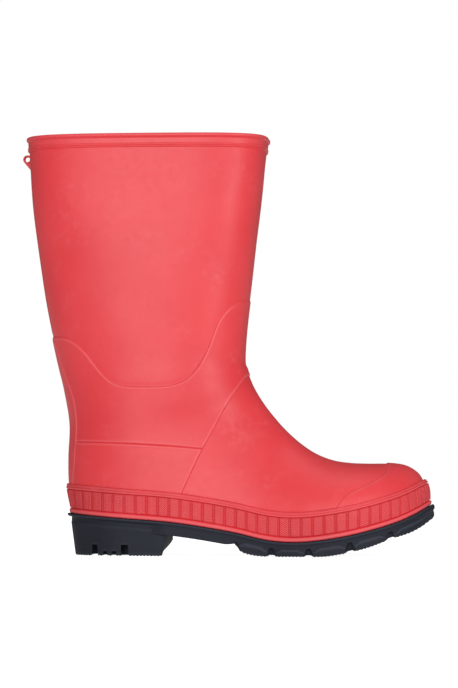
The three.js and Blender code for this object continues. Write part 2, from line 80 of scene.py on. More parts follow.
K = (sole_high[0] - sole_low[0]) / DRAWN_SOLE
X0 = sole_low[0] + 0.7 * K  # row x of the outlines' x = 0
RIM = rim_high[2]
RIM_HALF = leg_high[1]
ANKLE_HALF = 33.0 * K
BALL_HALF = 41.0 * (vamp_high[1] - vamp_low[1]) / DRAWN_VAMP
HEEL_HALF = 30.0 * K
FLARE = (leg_high[0] - leg_low[0] + LEG_SHORT - ANKLE_DEPTH * K) / RIM_FLARE
UNDER = -40.0  # height at which the foot's loops end at the back, well below the ground

# ---- curves


def between(a, b, c, d, t):
    """Smooth run from b to c as t goes from 0 to 1, with a and d as their neighbours."""
    return 0.5 * (2 * b + (c - a) * t + (2 * a - 5 * b + 4 * c - d) * t**2 + (3 * b - a - 3 * c + d) * t**3)


def spread(values, u):
    """Smooth run through evenly spaced values, at u from 0 to 1."""
    v = np.asarray(values, float)
    place = np.clip(u, 0, 1) * (len(v) - 1)
    i = np.minimum(place.astype(int), len(v) - 2)
    t = place - i
    last = len(v) - 1
    a, b = v[np.clip(i - 1, 0, last)], v[i]
    c, d = v[i + 1], v[np.clip(i + 2, 0, last)]
    return between(a, b, c, d, t)


def smoothstep(a, b, x):
    """0 at a and 1 at b, with a soft start and end."""
    t = np.clip((x - a) / (b - a), 0, 1)
    return t * t * (3 - 2 * t)


def mix(a, b, t):
    return a + (b - a) * t


def line_through(pairs, per=8):
    """Smooth side-view polyline of (x, z) points."""
    p = np.array(pairs, float)
    p[:, 0] *= K
    knots = np.concatenate([[0], np.cumsum(np.sqrt(np.linalg.norm(np.diff(p, axis=0), axis=1)))])
    slopes = np.gradient(p, knots, axis=0)
    out = []
    for i in range(len(p) - 1):
        h = knots[i + 1] - knots[i]
        t = np.linspace(0, 1, per, endpoint=i == len(p) - 2)[:, None]
        out.append(
            (2 * t**3 - 3 * t**2 + 1) * p[i]
            + (t**3 - 2 * t**2 + t) * h * slopes[i]
            + (3 * t**2 - 2 * t**3) * p[i + 1]
            + (t**3 - t**2) * h * slopes[i + 1]
        )
    return np.concatenate(out)


def signed_distance(points, line):
    """Side-view distance of points to a line, positive on its left."""
    x, z = points[..., 0], points[..., 2]
    best = np.full(x.shape, 1e9)
    sign = np.ones(x.shape)
    for (ax, az), (bx, bz) in zip(line[:-1], line[1:]):
        dx, dz = bx - ax, bz - az
        t = np.clip(((x - ax) * dx + (z - az) * dz) / (dx * dx + dz * dz), 0, 1)
        ex, ez = x - ax - t * dx, z - az - t * dz
        d = ex * ex + ez * ez
        closer = d < best
        best = np.where(closer, d, best)
        sign = np.where(closer, np.where(dx * ez - dz * ex >= 0, 1, -1), sign)
    return sign * np.sqrt(best)


HEEL_Z, BALL_Z, TOE_Z = 25.0, 8.8, 30.5
sole_line = line_through(
    [
        [-10, HEEL_Z + 1.6], [2, HEEL_Z + 0.4], [32, HEEL_Z - 2], [68, mix(BALL_Z, HEEL_Z, 0.7)],
        [103, mix(BALL_Z, HEEL_Z, 0.36)], [126, BALL_Z + 0.9], [144, BALL_Z], [169, mix(BALL_Z, TOE_Z, 0.14)],
        [191, mix(BALL_Z, TOE_Z, 0.38)], [207, mix(BALL_Z, TOE_Z, 0.63)], [222, TOE_Z], [236, TOE_Z + 10],
    ]
)
tread_line = line_through(
    [
        [90, 12], [100, 9], [105, 6], [110, 2.4], [117, 0.6], [127, 0], [152, 0], [163, 0.6],
        [184.5, 5.2], [197.4, 10], [212, 15], [220, 20], [232, 30],
    ]
)
leg_line = line_through(
    [
        [-60, 134.5], [-10, 133.8], [0, 132.6], [4.9, 130.6], [9.8, 126.8], [14.5, 122], [18.6, 116.8],
        [22.4, 112.2], [26.4, 108.2], [30.8, 105], [38.1, 103], [50.3, 102.5], [62, 102.9], [68.4, 104],
        [73.7, 106.2], [78.6, 110.2], [82.3, 115], [85.8, 120.9], [89.2, 128.4], [92.6, 138], [95.9, 144.7],
        [100.2, 150], [105.1, 153.6], [111.3, 156.6], [170, 163],
    ],
    5,
)
vamp_line = line_through(
    [
        [42, -30], [59, 7], [73.4, 39.6], [78.8, 51.4], [84.7, 64], [91, 75.8], [97.9, 89.2], [106, 102.4],
        [109.8, 108.6], [190, 210],
    ],
    6,
)
counter_line = line_through(
    [[-60, 70], [2.8, 69.2], [28.5, 68.5], [47, 67.7], [71.4, 66.1], [83.4, 65], [140, 60]], 6
)
toe_line = line_through(
    [
        [142, -30], [157, 12], [167.4, 30.8], [172.4, 37], [181.1, 41.6], [190, 46.4], [195.4, 50.6],
        [196.3, 54], [194, 57], [180, 75], [170, 100],
    ],
    8,
)


def sole_z(x):
    """Height of the line where the upper meets the sole."""
    return np.interp(x, sole_line[:, 0], sole_line[:, 1])


# ---- the upper's outer face


def shaft_loop(f, back, front):
    """Level loop of the shaft at a share f of the way from ankle to rim."""
    z = mix(123, RIM, f)
    half = mix(ANKLE_HALF, RIM_HALF + 0.5, min(f, 1))
    power = 2.4 + 1.2 * f
    return [108.2 + front * FLARE, z, -8 - back * FLARE, z, half, 0, 0.5, power, power]


def foot_loop(front, back, half, mid, widest, powers):
    return [*front, *back, half, mid, widest, *powers]


HH, BH = HEEL_HALF, BALL_HALF
# Front x and z, back x and z, half width, middle y, widest place, powers towards front and back.
LOOPS = np.array(
    [
        shaft_loop(1.06, 17.6, 15.2),
        shaft_loop(0.66, 14.5, 9.2),
        shaft_loop(0.32, 8.5, 3.6),
        shaft_loop(0, 0, 0),
        foot_loop([109.8, 113.5], [-2.6, 100], ANKLE_HALF, 0, 0.48, [2.3, 2.4]),
        foot_loop([113.4, 103.8], [0.7, 80], ANKLE_HALF - 0.6, 0, 0.46, [2.2, 2.4]),
        foot_loop([117.8, 95.9], [0, 60], HH + 1.2, -0.3, 0.44, [2.1, 2.4]),
        foot_loop([122.4, 89.1], [0.7, 42], HH + 0.9, -0.6, 0.44, [2.1, 2.5]),
        foot_loop([127.4, 82.8], [4.1, 22], HH + 1.1, -1, 0.46, [2.1, 2.6]),
        foot_loop([132.1, 77.5], [5.2, -10], HH + 1.4, -1.6, 0.5, [2.1, 3.2]),
        foot_loop([137.6, 72.2], [32, UNDER], HH + 2, -2.4, 0.52, [2.1, 4.2]),
        foot_loop([144.4, 66.8], [66, UNDER], HH + 2, -3.4, 0.58, [2.1, 5]),
        foot_loop([152.9, 61.7], [98, UNDER], mix(HH, BH, 0.4), -4.2, 0.61, [2.1, 5]),
        foot_loop([163, 58], [126, UNDER], mix(HH, BH, 0.78), -3.4, 0.62, [2.15, 5]),
        foot_loop([174, 56.4], [150, UNDER], BH, -2, 0.63, [2.2, 5]),
        foot_loop([185, 56], [169, UNDER], BH - 0.4, 0, 0.64, [2.2, 5]),
        foot_loop([196, 55.9], [185, UNDER], BH - 3.8, 2, 0.65, [2.2, 5]),
        foot_loop([206.6, 54.3], [199, UNDER], BH - 9.6, 3.6, 0.66, [2.2, 5]),
        foot_loop([213.8, 49.9], [209.4, UNDER], BH - 17.6, 4.8, 0.68, [2.2, 5]),
        foot_loop([217.2, 44.4], [215.8, UNDER], BH - 26.5, 5.6, 0.7, [2.2, 5]),
        foot_loop([219.2, 38], [219.2, UNDER], BH - 35, 6, 0.7, [2.3, 5]),
    ],
    float,
)
LOOPS[:, [0, 2]] *= K


def face(u, a):
    """Points of the outer face: u from above the rim (0) to the toe tip (1), a round from the front."""
    u, a = np.broadcast_arrays(np.asarray(u, float), np.asarray(a, float))
    fx, fz, bx, bz, half, mid, widest, pf, pb = (spread(LOOPS[:, i], u) for i in range(9))
    c, s = np.cos(a), np.sin(a)
    ahead = c >= 0
    power = np.where(ahead, pf, pb)
    share = widest + np.sign(c) * np.abs(c) ** (2 / power) * np.where(ahead, 1 - widest, widest)
    y = mid + np.sign(s) * np.abs(s) ** (2 / power) * half
    return np.stack([mix(bx, fx, share), y, mix(bz, fz, share)], -1)


def soft(p):
    """Slight unevenness of soft rubber, the same for every layer."""
    x, y, z = p[..., 0], p[..., 1], p[..., 2]
    wave = (
        0.30 * np.sin(x / 17 + 0.8 * np.sin(z / 31 + 1.3) + y / 23 + 0.5)
        + 0.26 * np.sin(z / 21 - x / 35 + 1.1 * np.sin(y / 19) + 2.1)
        + 0.16 * np.sin(z / 9.5 + x / 13 + y / 14)
    )
    return wave * smoothstep(40, 75, z) * (1 - 0.75 * smoothstep(228, 250, z)) * 0.8


def grid(u0, u1, step, a0=0.0, a1=2 * math.pi):
    """Even grid of the outer face. Returns points and outward normals, both (rows, columns, 3)."""
    step = step * FINE
    closed = abs(a1 - a0 - 2 * math.pi) < 1e-6
    dense = np.linspace(u0, u1, 900)
    feelers = face(dense[:, None], np.linspace(a0, a1, 13)[None])
    feelers[..., 2] = np.maximum(feelers[..., 2], -5)
    run = np.linalg.norm(np.diff(feelers, axis=0), axis=2).max(1)
    run = np.concatenate([[0], np.cumsum(run)])
    rows = max(8, int(run[-1] / step))
    u = np.interp(np.linspace(0, run[-1], rows), run, dense)
    fan = np.linspace(a0, a1, 721)
    ring = face(u[:, None], fan[None])
    reach = np.linalg.norm(np.diff(ring, axis=1), axis=2)
    reach = np.concatenate([np.zeros((rows, 1)), np.cumsum(reach, 1)], 1)
    cols = max(12, int(np.median(reach[:, -1]) / step))
    stops = np.linspace(0, 1, cols + 1)[: cols if closed else None]
    a = np.stack([np.interp(stops * r[-1], r, fan) for r in reach])
    p = face(u[:, None], a)
    if closed:
        wrapped = np.concatenate([p[:, -1:], p, p[:, :1]], 1)
        along = wrapped[:, 2:] - wrapped[:, :-2]
    else:
        along = np.gradient(p, axis=1)
    normal = np.cross(np.gradient(p, axis=0), along)
    normal /= np.maximum(np.linalg.norm(normal, axis=2, keepdims=True), 1e-9)
    return p, normal, closed


# ---- meshes


def to_row(points):
    """From the outlines' millimetres to the row frame's metres."""
    out = np.array(points, float)
    out[..., 0] += X0
    return out * MM


def make_object(name, points, faces, material, attributes=None):
    mesh = bpy.data.meshes.new(name)
    mesh.from_pydata(to_row(points).tolist(), [], np.asarray(faces).tolist())
    mesh.validate()
    mesh.update()
    for key, values in (attributes or {}).items():
        layer = mesh.attributes.new(key, "FLOAT", "POINT")
        layer.data.foreach_set("value", np.asarray(values, np.float32))
    mesh.shade_smooth()
    mesh.materials.append(material)
    obj = bpy.data.objects.new(name, mesh)
    bpy.context.scene.collection.objects.link(obj)
    return obj


def cells(rows, cols, closed):
    """Four-cornered cells of a grid, as numbers of its points."""
    i, j = np.meshgrid(np.arange(rows - 1), np.arange(cols if closed else cols - 1), indexing="ij")
    k = (j + 1) % cols
    return np.stack([i * cols + j, i * cols + k, (i + 1) * cols + k, (i + 1) * cols + j], -1).reshape(-1, 4)


def shell(name, outer, inner, closed, keep, material, attributes=None):
    """Closed shell between two matching grids, over the cells whose corners are all kept."""
    rows, cols = outer.shape[:2]
    quads = cells(rows, cols, closed)
    quads = quads[keep.reshape(-1)[quads].all(1)]
    quads = quads[:, ::-1]  # turned to face outwards
    count = rows * cols
    edges = np.concatenate([quads[:, [k, (k + 1) % 4]] for k in range(4)])
    code = edges.min(1) * count + edges.max(1)
    order = np.argsort(code, kind="stable")
    first = np.ones(len(code), bool)
    first[1:] = code[order][1:] != code[order][:-1]
    starts = np.flatnonzero(first)
    single = order[starts[np.diff(np.append(starts, len(code))) == 1]]
    rim = edges[np.sort(single)]
    sides = np.stack([rim[:, 1], rim[:, 0], rim[:, 0] + count, rim[:, 1] + count], 1)
    faces = np.concatenate([quads, quads[:, ::-1] + count, sides])
    points = np.concatenate([outer.reshape(-1, 3), inner.reshape(-1, 3)])
    used, back = np.unique(faces, return_inverse=True)
    doubled = {k: np.tile(v.reshape(-1), 2)[used] for k, v in (attributes or {}).items()}
    return make_object(name, points[used], back.reshape(faces.shape), material, doubled)


def lip(distance, width):
    """Rounded rise from 0 to 1 over width."""
    return np.sin(0.5 * math.pi * np.clip(distance / width, 0, 1))


DIVE = 0.5  # how far a piece's edge goes below the face that it lies on
SKIN_DEPTH = 1.7  # how far the upper's pieces reach inside the outer face


def overlay(name, u0, u1, step, edges, height, below=2.0, a0=0.0, a1=2 * math.pi, mark=1.0, bed=0.0):
    """A reinforcing piece on the outer face. edges gives each border's (distance inwards, lip width)."""
    p, n, closed = grid(u0, u1, step, a0, a1)
    rise = np.ones(p.shape[:2])
    near = np.full(p.shape[:2], 1e9)
    for distance, width in edges(p):
        offset = width / 3
        rise = np.minimum(rise, lip(distance + offset, width))
        near = np.minimum(near, distance + offset)
    # The crest just inside each border is raised a little and also painted paler through the edge attribute:
    # a painted highlight.
    crest = np.exp(-(((near - 1.25) / 0.6) ** 2)) * fading(p)
    h = bed - DIVE + (height + DIVE) * rise + 0.14 * crest
    above = p[..., 2] - sole_z(p[..., 0])
    keep = (near > -0.4 * step * FINE) & (above > below)
    outer = p + n * (h + soft(p))[..., None]
    inner = p - n * SKIN_DEPTH
    # Painted shade at the very border, where the piece meets the face it lies on.
    painted_shade = mark * fading(p) * (1 - smoothstep(0.25, 0.8, near))
    return shell(name, outer, inner, closed, keep, upper_rubber, {"edge": mark * crest, "painted_shade": painted_shade})


def fading(p):
    """The relief is crisp on the sides and melts away up the front of the shaft."""
    return 1 - 0.9 * smoothstep(98 * K, 108 * K, p[..., 0]) * smoothstep(136, 148, p[..., 2])


# ---- the wall round the foot

HEEL_C = np.array([31 * K, -1.0])
TOE_C = np.array([182 * K, 2.0])


def fan_ray(w):
    """Start and direction of a ray outwards at a share w of the way round the foot."""
    side = int(w * 4) % 4
    t = w * 4 - side
    if side == 0:
        return HEEL_C, math.pi * (1.5 - t)
    if side == 1:
        return mix(HEEL_C, TOE_C, t), math.pi / 2
    if side == 2:
        return TOE_C, math.pi * (0.5 - t)
    return mix(TOE_C, HEEL_C, t), -math.pi / 2


class Wall:
    """The upper's face as a function of a place round the foot and the height above the sole line."""

    def __init__(self):
        p, n, closed = grid(0.2, 1, 1.6 / FINE)
        quads = cells(*p.shape[:2], closed)
        tip = len(p.reshape(-1, 3))
        last = np.arange(tip - p.shape[1], tip)
        caps = [(a, b, tip) for a, b in zip(last, np.roll(last, -1))]
        points = [*map(tuple, p.reshape(-1, 3)), tuple(p[-1].mean(0))]
        self.tree = BVHTree.FromPolygons(points, [*map(tuple, quads), *caps])
        self.heights = np.array([-2.0, 0, 2, 4, 6, 8, 10, 12, 14, 16, 18, 20, 22])
        count = 240
        levels = np.array([[self.hit(i / count, h) for i in range(count)] for h in self.heights])
        # Even out the places along the sole line.
        self.levels = self.respace(levels, count * 4)
        base = self.levels[1]
        self.length = np.linalg.norm(np.roll(base, -1, 0) - base, axis=1).sum()
        centres = np.array([fan_ray(i / count)[0] for i in range(count)])
        flat = np.c_[centres, np.zeros(count)]
        self.centres = self.respace(np.stack([flat, levels[1]]), count * 4)[0][:, :2]

    def hit(self, w, h):
        """Where the ray for w meets the face at a height h above the sole line."""
        start, angle = fan_ray(w)
        direction = Vector((math.cos(angle), math.sin(angle), 0))
        x = start[0] + 35 * direction.x
        for _ in range(4):
            z = float(sole_z(x)) + h
            # Cast inwards from far outside, so the outer face is met first.
            place, *_ = self.tree.ray_cast(Vector((start[0], start[1], z)), direction)
            x = place.x
        return place.x, place.y, place.z

    @staticmethod
    def respace(levels, count):
        """The same rings with count places, even along the second one."""
        base = levels[1]
        steps = np.linalg.norm(np.roll(base, -1, 0) - base, axis=1)
        run = np.concatenate([[0], np.cumsum(steps)])
        at = np.linspace(0, run[-1], count, endpoint=False)
        closed = np.concatenate([levels, levels[:, :1]], 1)
        place = np.interp(at, run, np.arange(len(run)))
        i = place.astype(int)
        t = (place - i)[None, :, None]
        n = levels.shape[1]
        a, b, c, d = (closed[:, (i + k) % n] for k in (-1, 0, 1, 2))
        return between(a, b, c, d, t)

    def ring(self, s, h):
        """Points and outward directions at places s (0 to 1) and heights h, as (rows of h, places, 3)."""
        n = self.levels.shape[1]
        place = (s % 1) * n
        i = place.astype(int) % n
        t = (place - np.floor(place))[None, :, None]
        top = len(self.heights) - 1.001
        level = np.clip(np.interp(h, self.heights, np.arange(len(self.heights))), 0, top)
        k = level.astype(int)
        f = (level - k)[:, None, None]

        def at(j):
            rows = mix(self.levels[k], self.levels[k + 1], f)
            return rows[:, j % n]

        p = mix(at(i), at(i + 1), t)
        along = at(i + 3) - at(i - 3)
        out = np.stack([-along[..., 1], along[..., 0], np.zeros(along.shape[:2])], -1)
        out /= np.linalg.norm(out, axis=2, keepdims=True)
        return p, out

    def pushed(self, s, h, out):
        """Points pushed outwards, level with the sole line. out is (rows, places) or one per row."""
        p, direction = self.ring(s, np.asarray(h, float))
        out = np.broadcast_to(np.asarray(out, float), p.shape[:2])
        moved = p + direction * out[..., None]
        moved[..., 2] = p[..., 2] - sole_z(p[..., 0]) + sole_z(moved[..., 0])
        return moved

    def centre(self, s):
        n = len(self.centres)
        place = (s % 1) * n
        i = place.astype(int) % n
        t = (place - np.floor(place))[:, None]
        return mix(self.centres[i], self.centres[(i + 1) % n], t)


wall = Wall()


def tube(name, rows, quads, material, attributes):
    attributes = {k: v.reshape(-1) for k, v in (attributes or {}).items()}
    return make_object(name, rows.reshape(-1, 3), quads[:, [0, 3, 2, 1]], material, attributes)


def closed_ring(name, rows, material, attributes=None):
    """Torus-like mesh from a (rows, places, 3) grid, its rows up the outside and down the inside."""
    count, places = rows.shape[:2]
    return tube(name, rows, cells(count + 1, places, True) % (count * places), material, attributes)


def capped(name, rows, material, attributes=None):
    """Closed mesh from a (rows, places, 3) grid whose first and last rows have shrunk onto a line."""
    return tube(name, rows, cells(*rows.shape[:2], True), material, attributes)


# ---- materials


def material(name, colour, roughness):
    made = bpy.data.materials.new(name)
    made.use_nodes = True
    tree = made.node_tree
    shader = tree.nodes["Principled BSDF"]
    shader.inputs["Base Color"].default_value = (*colour, 1)
    shader.inputs["Roughness"].default_value = roughness
    return made, tree, shader


def node(tree, kind, **settings):
    """New shader node; a setting is one of its inputs or else a property."""
    made = tree.nodes.new(kind)
    for key, value in settings.items():
        if key in made.inputs:
            made.inputs[key].default_value = value
        else:
            setattr(made, key, value)
    return made


def place_of(tree):
    return tree.nodes.new("ShaderNodeTexCoord").outputs["Object"]


def stretched(tree, scale):
    """Place on the object, scaled along each axis."""
    made = node(tree, "ShaderNodeMapping")
    made.inputs["Scale"].default_value = scale
    tree.links.new(place_of(tree), made.inputs["Vector"])
    return made.outputs["Vector"]


def noise(tree, place, scale, detail=3.0, rough=0.5):
    made = node(tree, "ShaderNodeTexNoise", Scale=scale, Detail=detail, Roughness=rough)
    tree.links.new(place, made.inputs["Vector"])
    return made.outputs["Fac"]


def ramp(tree, value, stops):
    made = tree.nodes.new("ShaderNodeValToRGB")
    elements = made.color_ramp.elements
    while len(elements) < len(stops):
        elements.new(0.5)
    for element, (at, colour) in zip(elements, stops):
        element.position = at
        element.color = (*colour, 1)
    tree.links.new(value, made.inputs["Fac"])
    return made.outputs["Color"]


def grey(v):
    return (v, v, v)


def blend_colour(tree, a, b, share):
    made = node(tree, "ShaderNodeMix", data_type="RGBA")
    for socket, value in ((made.inputs[6], a), (made.inputs[7], b)):
        if isinstance(value, bpy.types.NodeSocket):
            tree.links.new(value, socket)
        else:
            socket.default_value = (*value, 1)
    if isinstance(share, bpy.types.NodeSocket):
        tree.links.new(share, made.inputs[0])
    else:
        made.inputs[0].default_value = share
    return made.outputs[2]


def maths(tree, how, a, b=0.0, c=0.0):
    made = node(tree, "ShaderNodeMath", operation=how)
    for socket, value in zip(made.inputs, (a, b, c)):
        if isinstance(value, bpy.types.NodeSocket):
            tree.links.new(value, socket)
        else:
            socket.default_value = value
    return made.outputs[0]


def bump(tree, shader, height, distance, strength, under=None):
    made = node(tree, "ShaderNodeBump", Strength=strength, Distance=distance)
    tree.links.new(height, made.inputs["Height"])
    if under is not None:
        tree.links.new(under, made.inputs["Normal"])
    tree.links.new(made.outputs["Normal"], shader.inputs["Normal"])
    return made.outputs["Normal"]


def attribute(tree, name):
    made = node(tree, "ShaderNodeAttribute", attribute_name=name)
    return made.outputs["Fac"]


GRAIN = 0.00004  # depth of the finest unevenness of the rubber, in metres


def rubber(name, colour, deep, pale, roughness, gloss, wear_and_highlight, bloom_share=0.28):
    """Moulded satin rubber: mottled colour, a pale bloom on it, paler edges and crests (partly wear, partly
    painted highlight), painted shade in grooves and joints, a fine uneven skin.
    """
    made, tree, shader = material(name, colour, roughness)
    place = place_of(tree)
    broad = noise(tree, place, 16, 3)
    fine = noise(tree, place, 240, 4, 0.6)
    bloom = noise(tree, place, 46, 5, 0.62)
    body = blend_colour(tree, deep, colour, ramp(tree, broad, [(0.3, grey(0)), (0.62, grey(1))]))
    speck = maths(
        tree,
        "MULTIPLY",
        ramp(tree, bloom, [(0.5, grey(0)), (0.78, grey(1))]),
        ramp(tree, fine, [(0.42, grey(0)), (0.66, grey(1))]),
    )
    body = blend_colour(tree, body, pale, maths(tree, "MULTIPLY", speck, bloom_share))
    # Paler where the edge attribute is high: partly wear, partly a painted highlight on crests and edges.
    body = blend_colour(tree, body, pale, maths(tree, "MULTIPLY", attribute(tree, "edge"), wear_and_highlight))
    # Painted shade: darker in grooves, hollows and along the joints where one piece lies on another.
    body = blend_colour(tree, body, deep, maths(tree, "MULTIPLY", attribute(tree, "painted_shade"), 0.85))
    tree.links.new(body, shader.inputs["Base Color"])
    rough = maths(tree, "MULTIPLY_ADD", fine, 0.16, roughness - 0.1)
    rough = maths(tree, "MULTIPLY_ADD", broad, 0.1, rough)
    tree.links.new(rough, shader.inputs["Roughness"])
    first = bump(tree, shader, noise(tree, place, 900, 3, 0.6), GRAIN, 0.5)
    bump(tree, shader, noise(tree, place, 130, 3, 0.5), GRAIN * 3, 0.5, first)
    shader.inputs["Specular IOR Level"].default_value = gloss
    return made


upper_rubber = rubber(
    "upper_rubber",
    colour=(0.80, 0.050, 0.060), deep=(0.73, 0.036, 0.046), pale=(0.92, 0.22, 0.23),
    roughness=0.42, gloss=0.5, wear_and_highlight=0.26, bloom_share=0.22,
)
trim_rubber = rubber(
    "trim_rubber",
    colour=(0.74, 0.026, 0.036), deep=(0.50, 0.009, 0.015), pale=(0.94, 0.21, 0.23),
    roughness=0.48, gloss=0.4, wear_and_highlight=0.8,
)
sole_rubber = rubber(
    "sole_rubber",
    colour=(0.013, 0.016, 0.026), deep=(0.008, 0.010, 0.017), pale=(0.06, 0.07, 0.095),
    roughness=0.6, gloss=0.28, wear_and_highlight=0.4,
)


def knit_material():
    made, tree, shader = material("lining_knit", (0.4, 0.41, 0.43), 0.95)
    place = place_of(tree)
    loops = node(tree, "ShaderNodeTexVoronoi", Scale=1.0)
    loops.feature = "SMOOTH_F1"
    tree.links.new(stretched(tree, (700, 700, 520)), loops.inputs["Vector"])
    stitch = loops.outputs["Distance"]
    fuzz = noise(tree, place, 1500, 4, 0.7)
    colour = ramp(tree, stitch, [(0.1, (0.46, 0.47, 0.49)), (0.75, (0.24, 0.25, 0.27))])
    colour = blend_colour(tree, colour, (0.62, 0.63, 0.65), maths(tree, "MULTIPLY", fuzz, 0.3))
    tree.links.new(colour, shader.inputs["Base Color"])
    first = bump(tree, shader, maths(tree, "SUBTRACT", 1.0, stitch), 0.0005, 0.8)
    bump(tree, shader, fuzz, 0.0002, 0.6, first)
    shader.inputs["Sheen Weight"].default_value = 0.35
    return made


def felt_material(name, colour, pale, scale=900, depth=0.0003):
    made, tree, shader = material(name, colour, 0.96)
    place = place_of(tree)
    fibre = noise(tree, place, scale, 5, 0.75)
    patch = noise(tree, place, 40, 3, 0.5)
    body = blend_colour(tree, colour, pale, ramp(tree, fibre, [(0.35, grey(0)), (0.72, grey(1))]))
    body = blend_colour(tree, body, colour, maths(tree, "MULTIPLY", patch, 0.5))
    tree.links.new(body, shader.inputs["Base Color"])
    bump(tree, shader, fibre, depth, 0.9)
    return made


def steel_material():
    made, tree, shader = material("shank_steel", (0.5, 0.51, 0.53), 0.4)
    streak = noise(tree, stretched(tree, (30, 900, 900)), 1.0, 4, 0.6)
    tree.links.new(ramp(tree, streak, [(0.3, grey(0.4)), (0.7, grey(0.58))]), shader.inputs["Base Color"])
    tree.links.new(maths(tree, "MULTIPLY_ADD", streak, 0.25, 0.25), shader.inputs["Roughness"])
    bump(tree, shader, streak, 0.00005, 0.5)
    shader.inputs["Metallic"].default_value = 1.0
    return made


lining_knit = knit_material()
footbed_felt = felt_material("footbed_felt", (0.25, 0.26, 0.28), (0.42, 0.43, 0.46))

# ---- upper pieces


def upper(obj, node_name):
    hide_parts(node_name)
    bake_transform(obj)
    return obj


def joint_shade(*distances):
    """Painted shade: a dark line on a piece just outside the edges of the pieces that lie on it."""
    return np.max([np.exp(-((np.abs(d) / 0.75) ** 2)) for d in distances], axis=0)


def leg_piece():
    p, n, closed = grid(0, 0.36, 1.0)
    line = signed_distance(p, leg_line)
    keep = (p[..., 2] < RIM - 1.6) & (line > -4)
    outer = p + n * (soft(p) - 0.16 * np.exp(-(((line - 0.8) / 0.9) ** 2)) * fading(p))[..., None]
    # Painted shade: a dark line along the leg line, beside the edges of the pieces that lie on the leg panel.
    shade = 0.4 * joint_shade(line) * fading(p)
    attributes = {"edge": np.zeros(p.shape[:2]), "painted_shade": shade}
    return shell("leg_panel_skin", outer, p - n * SKIN_DEPTH, closed, keep, upper_rubber, attributes)


upper(leg_piece(), "leg_panel")

ankle = overlay(
    "ankle_panel_skin", 0.11, 0.52, 0.65,
    lambda p: [
        (-signed_distance(p, leg_line), 1.3),
        (signed_distance(p, vamp_line), 1.2),
        (signed_distance(p, counter_line), 1.1),
    ],
    0.55,
)
upper(ankle, "ankle_panel")

counter = overlay(
    "heel_counter_skin", 0.2, 0.66, 0.55,
    lambda p: [(-signed_distance(p, counter_line), 1.1), (signed_distance(p, vamp_line), 1.2)],
    0.7,
)
upper(counter, "heel_counter")


def vamp_piece():
    p, n, closed = grid(0.17, 0.96, 0.87)
    back, toe = signed_distance(p, vamp_line), signed_distance(p, toe_line)
    keep = (
        (back < 4) & (signed_distance(p, leg_line) < 4) & (toe > -4) & (p[..., 2] - sole_z(p[..., 0]) > 2)
    )
    outer = p + n * soft(p)[..., None]
    # Painted shade: dark lines along the vamp line and the toe cap's edge, beside the pieces that lie on the
    # vamp.
    attributes = {"edge": np.zeros(p.shape[:2]), "painted_shade": 0.6 * joint_shade(back, 2 * toe)}
    return shell("vamp_skin", outer, p - n * SKIN_DEPTH, closed, keep, upper_rubber, attributes)


upper(vamp_piece(), "vamp")

cap = overlay(
    "toe_cap_skin", 0.6, 1.0, 0.55, lambda p: [(-signed_distance(p, toe_line), 2.2)], 0.7, mark=0.5
)
upper(cap, "toe_cap")


STAY_HEIGHTS = [40, 50, 60, 95, 104, 114, 126, 134]
STAY_HALVES = [15.5, 17.6, 18.4, 19.6, 18.2, 15.8, 14.4, 13]


def stay_half(p):
    """Half width of the back stay at each point's height."""
    return np.interp(p[..., 2], STAY_HEIGHTS, STAY_HALVES)


stay = overlay(
    "back_stay_skin", 0.12, 0.62, 0.5,
    lambda p: [(stay_half(p) - np.abs(p[..., 1]), 1.6), (-signed_distance(p, leg_line) - 1.2, 2.5)],
    0.5, below=8.0, a0=math.pi - 1.45, a1=math.pi + 1.45, bed=0.35,
)
upper(stay, "back_stay")

# ---- rim

ring_u = np.linspace(0, 0.16, 200)
ring_z = face(ring_u, np.zeros(200))[:, 2]


def rim_ring(name, profile, material_used, edges, grooves):
    """Profile of (distance out, height) swept round the shaft near the rim."""
    count = int(720 / FINE)
    a = np.linspace(0, 2 * math.pi, 1441)
    base = face(0.03, a)
    run = np.concatenate([[0], np.cumsum(np.linalg.norm(np.diff(base, axis=0), axis=1))])
    a = np.interp(np.linspace(0, run[-1], count, endpoint=False), run, a)
    rows = []
    for out, z in profile:
        u = np.interp(-z, -ring_z, ring_u)
        p = face(u, a)
        along = np.roll(p, 1, 0) - np.roll(p, -1, 0)
        normal = np.stack([-along[:, 1], along[:, 0], np.zeros(count)], -1)
        normal /= np.linalg.norm(normal, axis=1, keepdims=True)
        q = p + normal * (out + soft(p) * (0 if out < -1 else 1))[:, None]
        q[:, 2] = z
        rows.append(q)
    rows = np.stack(rows)[:, ::-1]
    # The edge values paint the beads and the roll paler, a painted highlight; the groove values darken the
    # hollows between and under the beads as painted shade.
    tone = {
        "edge": np.repeat(np.asarray(edges)[::-1, None], count, 1),
        "painted_shade": np.repeat(np.asarray(grooves)[::-1, None], count, 1),
    }
    return closed_ring(name, rows, material_used, tone)


def bead_arc(out, z, radius, start, stop, steps):
    """Points of a half-round bead, from angle start to stop in degrees (0 is outwards, 90 is up)."""
    angles = np.radians(np.linspace(start, stop, steps))
    return [(out + radius * math.cos(t), z + radius * math.sin(t)) for t in angles]


band_profile = [
    (-0.6, RIM - 8.6), (0.15, RIM - 8.55),
    *bead_arc(0.45, RIM - 8.0, 0.5, -80, 80, 6),
    (0.4, RIM - 7.32),
    *bead_arc(0.45, RIM - 6.75, 0.5, -80, 80, 6),
    (0.42, RIM - 6.05), (0.5, RIM - 5.2), (0.5, RIM - 4.2), (0.5, RIM - 3.3), (0.52, RIM - 2.75),
    *bead_arc(0.15, RIM - 1.35, 1.33, -60, 90, 12),
    (-1.2, RIM - 0.03), (-2.6, RIM - 0.2), (-3.3, RIM - 0.8), (-3.65, RIM - 1.8), (-3.7, RIM - 2.7),
    (-3.5, RIM - 3.2), (-2.2, RIM - 3.2),
]
